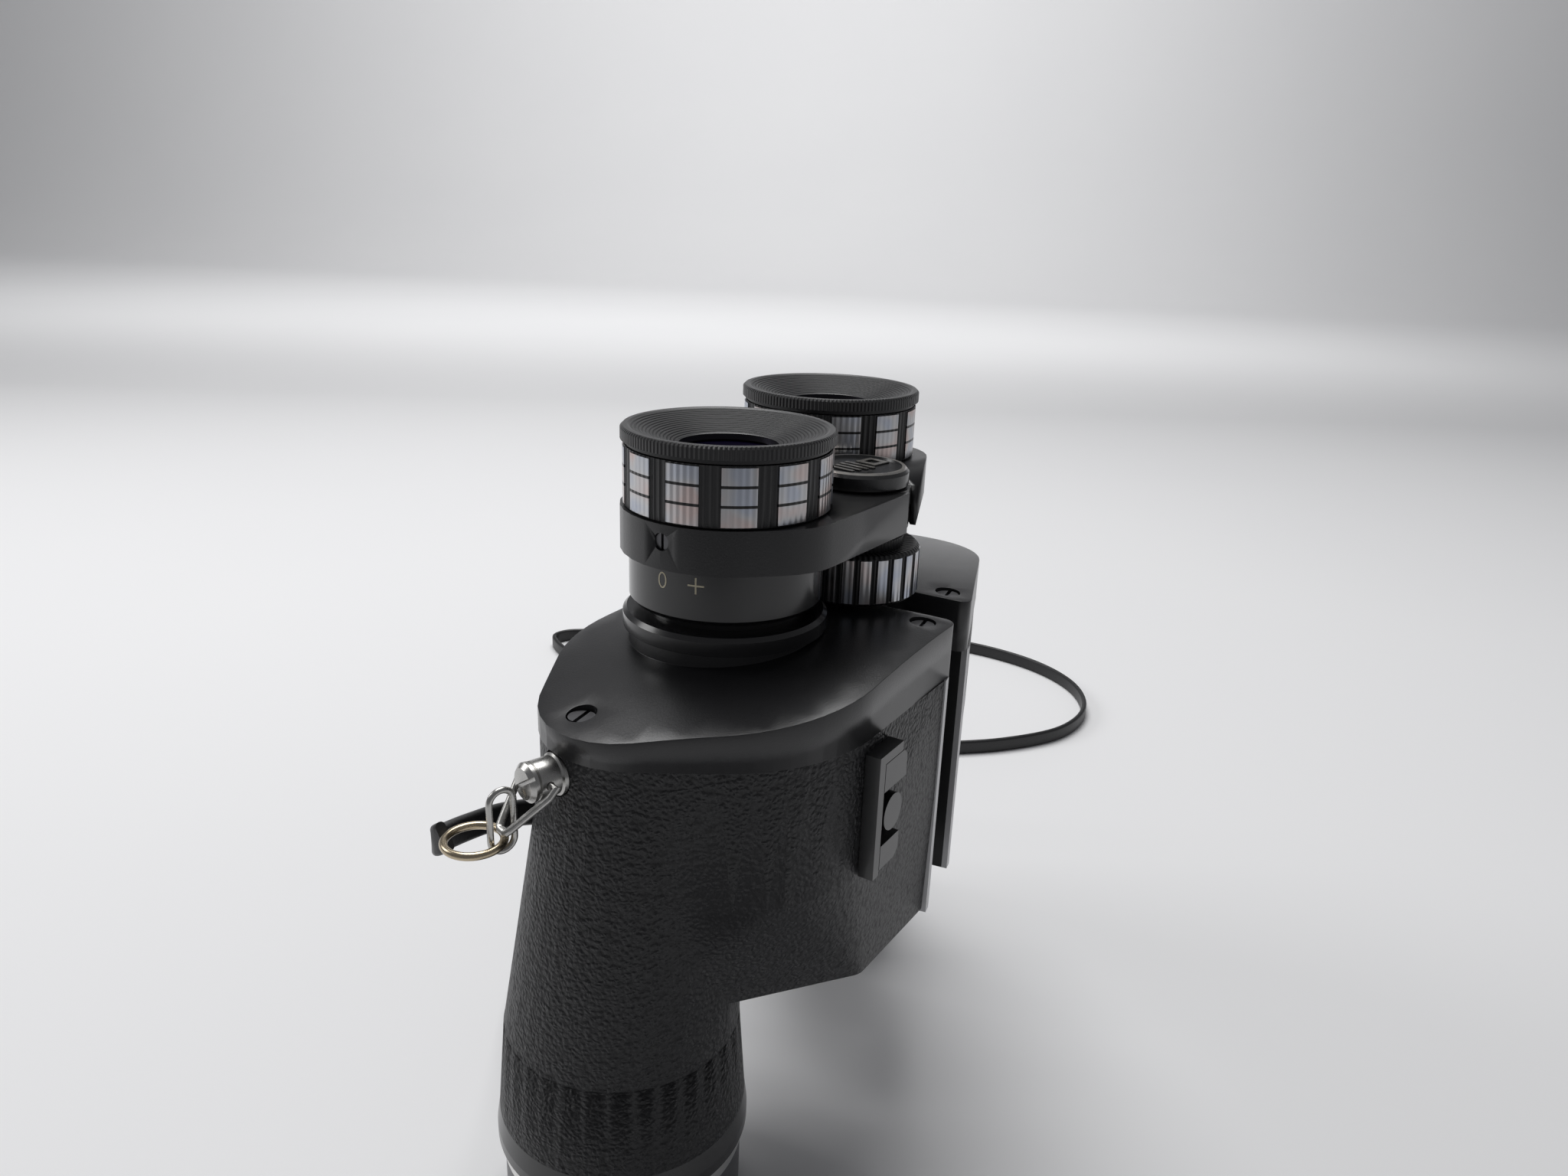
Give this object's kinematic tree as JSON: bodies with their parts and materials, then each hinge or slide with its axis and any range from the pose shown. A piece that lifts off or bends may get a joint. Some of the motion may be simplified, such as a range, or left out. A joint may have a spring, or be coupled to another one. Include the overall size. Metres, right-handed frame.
{
  "type": "zoom binoculars",
  "caption": "Folding prism zoom binoculars in black leatherette with bright trim rings, centre focus wheel, checked zoom rings and a neck strap.",
  "frame": {"origin": "middle of the binoculars' footprint, on the surface that the front rings stand on", "axes": "+Z from the objectives to the eyepieces along the barrels, +X towards the left barrel, -Y towards the side that faces up in use"},
  "size_m": [0.3829, 0.2511, 0.165],
  "materials": {
    "black_paint": "satin black paint, fine texture",
    "black_satin": "semi-gloss black",
    "leatherette": "pebbled, matte",
    "black_plastic": "semi-gloss",
    "eyecup_rubber": "matte, fine grooves",
    "bright_chrome": "brushed bright",
    "front_metal": "satin dark grey",
    "dark_steel": "darkened",
    "nickel": "polished, a little dull",
    "brass": "worn plating",
    "glass": "clear",
    "coated_glass": "coated, polished",
    "strap": "smooth black, slight sheen"
  },
  "bodies": {
    "right_barrel": {"body_r": "black_paint", "covering_r": "leatherette", "prism_cover_r": "black_paint", "cover_screws_r": "dark_steel", "guide_flange_r": "black_satin", "prism_shelf_r": "dark_steel", "prisms_r": "glass", "objective_cell_r": "black_paint", "objective_lens_r": "coated_glass", "rim_r": "black_satin", "trim_ring_r": "bright_chrome", "front_ring_r": "front_metal", "strap_lug_r": "nickel", "badge_r": "black_plastic", "hinge_axle": "dark_steel", "strap_end_r": "strap", "strap": "strap"},
    "left_barrel": {"body_l": "black_paint", "covering_l": "leatherette", "prism_cover_l": "black_paint", "cover_screws_l": "dark_steel", "guide_flange_l": "black_satin", "prism_shelf_l": "dark_steel", "prisms_l": "glass", "objective_cell_l": "black_paint", "objective_lens_l": "coated_glass", "rim_l": "black_satin", "trim_ring_l": "bright_chrome", "front_ring_l": "front_metal", "strap_lug_l": "nickel", "strap_end_l": "strap"},
    "focus_wheel_body": {"focus_wheel": "black_plastic", "wheel_stripes": "bright_chrome"},
    "bridge": {"focus_shaft": "dark_steel", "bridge_arm_r": "black_paint", "arm_screw_r": "dark_steel", "centre_cap": "black_plastic"},
    "left_arm": {"bridge_arm_l": "black_paint", "arm_screw_l": "dark_steel", "eyepiece_tube_l": "black_satin", "eyecup_l": "eyecup_rubber", "eye_lens_l": "coated_glass"},
    "right_eyepiece": {"eyepiece_tube_r": "black_satin", "eyecup_r": "eyecup_rubber", "eye_lens_r": "coated_glass"},
    "zoom_ring_right": {"zoom_ring_r": "black_plastic", "zoom_pads_r": "bright_chrome"},
    "zoom_ring_left": {"zoom_ring_l": "black_plastic", "zoom_pads_l": "bright_chrome"},
    "zoom_front_right": {"zoom_cell_front_r": "glass"},
    "zoom_rear_right": {"zoom_cell_rear_r": "glass"},
    "zoom_front_left": {"zoom_cell_front_l": "glass"},
    "zoom_rear_left": {"zoom_cell_rear_l": "glass"},
    "bail_right": {"bail_r": "nickel", "link_r": "nickel", "strap_ring_r": "brass"},
    "bail_left": {"bail_l": "nickel", "link_l": "nickel", "strap_ring_l": "brass"}
  },
  "joints": [
    {"name": "fold", "type": "hinge", "parent": "right_barrel", "child": "left_barrel", "pos_m": [0, -0.0136, 0.083], "axis": [0, 0, -1], "range_deg": [-10, 24], "deforming": ["strap"]},
    {"name": "focus_wheel_spin", "type": "hinge", "parent": "right_barrel", "child": "focus_wheel_body", "pos_m": [0, -0.0136, 0.1315], "axis": [0, 0, 1], "range_deg": [-46, 136]},
    {"name": "bridge_slide", "type": "slide", "parent": "right_barrel", "child": "bridge", "axis": [0, 0, 1], "range_m": [-0.0015, 0.0045]},
    {"name": "left_arm_slide", "type": "slide", "parent": "left_barrel", "child": "left_arm", "axis": [0, 0, 1], "range_m": [-0.0016, 0.0046]},
    {"name": "dioptre", "type": "hinge", "parent": "bridge", "child": "right_eyepiece", "pos_m": [-0.0295, 0.0039, 0.137], "axis": [0, 0, 1], "range_deg": [-35, 35]},
    {"name": "zoom_right", "type": "hinge", "parent": "right_eyepiece", "child": "zoom_ring_right", "pos_m": [-0.0295, 0.0039, 0.1555], "axis": [0, 0, 1], "range_deg": [0, 90]},
    {"name": "zoom_left", "type": "hinge", "parent": "left_arm", "child": "zoom_ring_left", "pos_m": [0.0295, 0.0039, 0.1555], "axis": [0, 0, 1], "range_deg": [0, 90.5]},
    {"name": "zoom_front_right_slide", "type": "slide", "parent": "right_eyepiece", "child": "zoom_front_right", "axis": [0, 0, 1], "range_m": [0, 0.0121]},
    {"name": "zoom_rear_right_slide", "type": "slide", "parent": "right_eyepiece", "child": "zoom_rear_right", "axis": [0, 0, 1], "range_m": [-0.0041, 0]},
    {"name": "zoom_front_left_slide", "type": "slide", "parent": "left_arm", "child": "zoom_front_left", "axis": [0, 0, 1], "range_m": [0, 0.0121]},
    {"name": "zoom_rear_left_slide", "type": "slide", "parent": "left_arm", "child": "zoom_rear_left", "axis": [0, 0, 1], "range_m": [-0.0041, 0]},
    {"name": "bail_right_swing", "type": "hinge", "parent": "right_barrel", "child": "bail_right", "pos_m": [-0.0766, 0.01789, 0.1082], "axis": [-0.454, -0.891, 0], "range_deg": [-40, 12], "deforming": ["strap_end_r"]},
    {"name": "bail_left_swing", "type": "hinge", "parent": "left_barrel", "child": "bail_left", "pos_m": [0.0766, 0.01789, 0.1082], "axis": [-0.454, 0.891, 0], "range_deg": [-40, 12], "deforming": ["strap_end_l"]}
  ],
  "couplings": [
    {"joint": "focus_wheel_spin", "follows": "bridge_slide", "rad_per_m": 523.6},
    {"joint": "left_arm_slide", "follows": "bridge_slide", "ratio": 1},
    {"joint": "zoom_left", "follows": "zoom_right", "ratio": 1},
    {"joint": "zoom_front_right_slide", "follows": "zoom_right", "m_per_rad": 0.007639},
    {"joint": "zoom_rear_right_slide", "follows": "zoom_right", "m_per_rad": -0.002546},
    {"joint": "zoom_front_left_slide", "follows": "zoom_right", "m_per_rad": 0.007639},
    {"joint": "zoom_rear_left_slide", "follows": "zoom_right", "m_per_rad": -0.002546}
  ]
}
